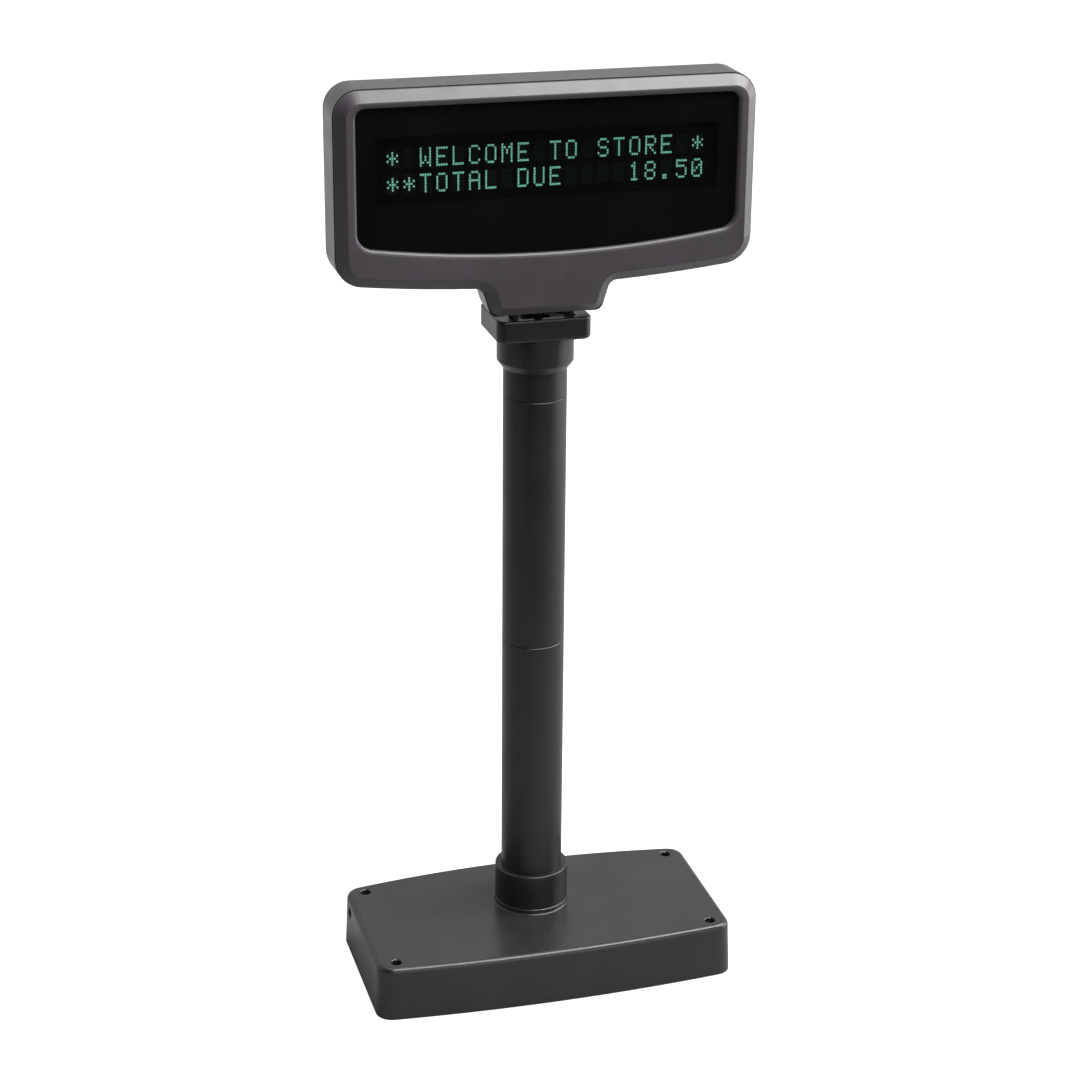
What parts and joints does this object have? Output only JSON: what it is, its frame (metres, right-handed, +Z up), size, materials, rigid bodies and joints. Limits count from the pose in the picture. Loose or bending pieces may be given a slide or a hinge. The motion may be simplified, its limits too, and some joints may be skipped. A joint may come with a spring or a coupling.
{
  "type": "customer pole display",
  "caption": "Dot-matrix message display in a rounded head that swivels and tilts on a tubular pole with a weighted rectangular base.",
  "frame": {"origin": "centre of the base footprint, on the counter", "axes": "+Z up along the pole, -Y the way the display faces, +X to the reader's right"},
  "size_m": [0.2204, 0.1108, 0.5038],
  "materials": {
    "housing": "fine matt texture, dark warm charcoal",
    "pole_plastic": "satin, near black",
    "smoked_window": "polished, dark smoked",
    "display_glass": "polished",
    "anode_plate": "dark ceramic print on glass",
    "steel": "zinc plated sheet",
    "cast_ballast": "black painted",
    "screw_steel": "zinc plated",
    "spring_steel": "oiled",
    "acetal": "natural white",
    "circuit_board": "green solder resist",
    "black_component": "moulded black",
    "connector": "ivory nylon",
    "gold_contact": "gold plated",
    "ferrite": "sintered grey ferrite",
    "capacitor_sleeve": "shrunk sleeve, dark blue",
    "rubber": "soft black",
    "cable_jacket": "PVC, black"
  },
  "bodies": {
    "base": {"base_cover": "housing", "base_plate": "steel", "ballast_plate": "cast_ballast", "rubber_feet": "rubber", "base_screws": "screw_steel", "pole_socket": "pole_plastic", "socket_screws": "screw_steel", "interface_board": "circuit_board", "board_spacers": "acetal", "board_screws": "screw_steel", "board_parts": "black_component", "dc_jack": "black_component", "data_port": "black_component", "port_contacts": "gold_contact", "cable_plug_lower": "connector", "pole_tube_lower": "pole_plastic", "pole_tube_middle": "pole_plastic", "pole_tube_upper": "pole_plastic", "coupler_lower": "black_component", "coupler_upper": "black_component", "pole_cable": "cable_jacket", "swivel_bush": "acetal", "stop_pin": "steel", "thrust_washer": "acetal"},
    "swivel": {"stop_washer": "steel", "retaining_ring": "spring_steel", "swivel_spindle": "steel", "swivel_holder": "housing", "tilt_bracket": "steel", "bracket_screws": "screw_steel", "hinge_bolts": "screw_steel", "hinge_nuts": "screw_steel", "friction_washers": "acetal", "outer_washers": "steel", "neck_cable": "cable_jacket"},
    "head": {"front_bezel": "housing", "rear_shell": "housing", "filter_window": "smoked_window", "tilt_yoke": "steel", "yoke_screws": "screw_steel", "case_screws": "screw_steel", "vfd_front_glass": "display_glass", "vfd_anode_plate": "anode_plate", "vfd_leads": "gold_contact", "display_board": "circuit_board", "display_board_screws": "screw_steel", "driver_chips": "black_component", "capacitors": "capacitor_sleeve", "power_transformer": "ferrite", "cable_header": "connector", "cable_plug_upper": "connector"}
  },
  "joints": [
    {"name": "head_swivel", "type": "hinge", "parent": "base", "child": "swivel", "pos_m": [0, 0.00915, 0.3492], "axis": [0, 0, 1], "range_deg": [-135, 135]},
    {"name": "head_tilt", "type": "hinge", "parent": "swivel", "child": "head", "pos_m": [0, -0.00185, 0.3915], "axis": [-1, 0, 0], "range_deg": [-8, 30], "deforming": ["neck_cable"]}
  ]
}
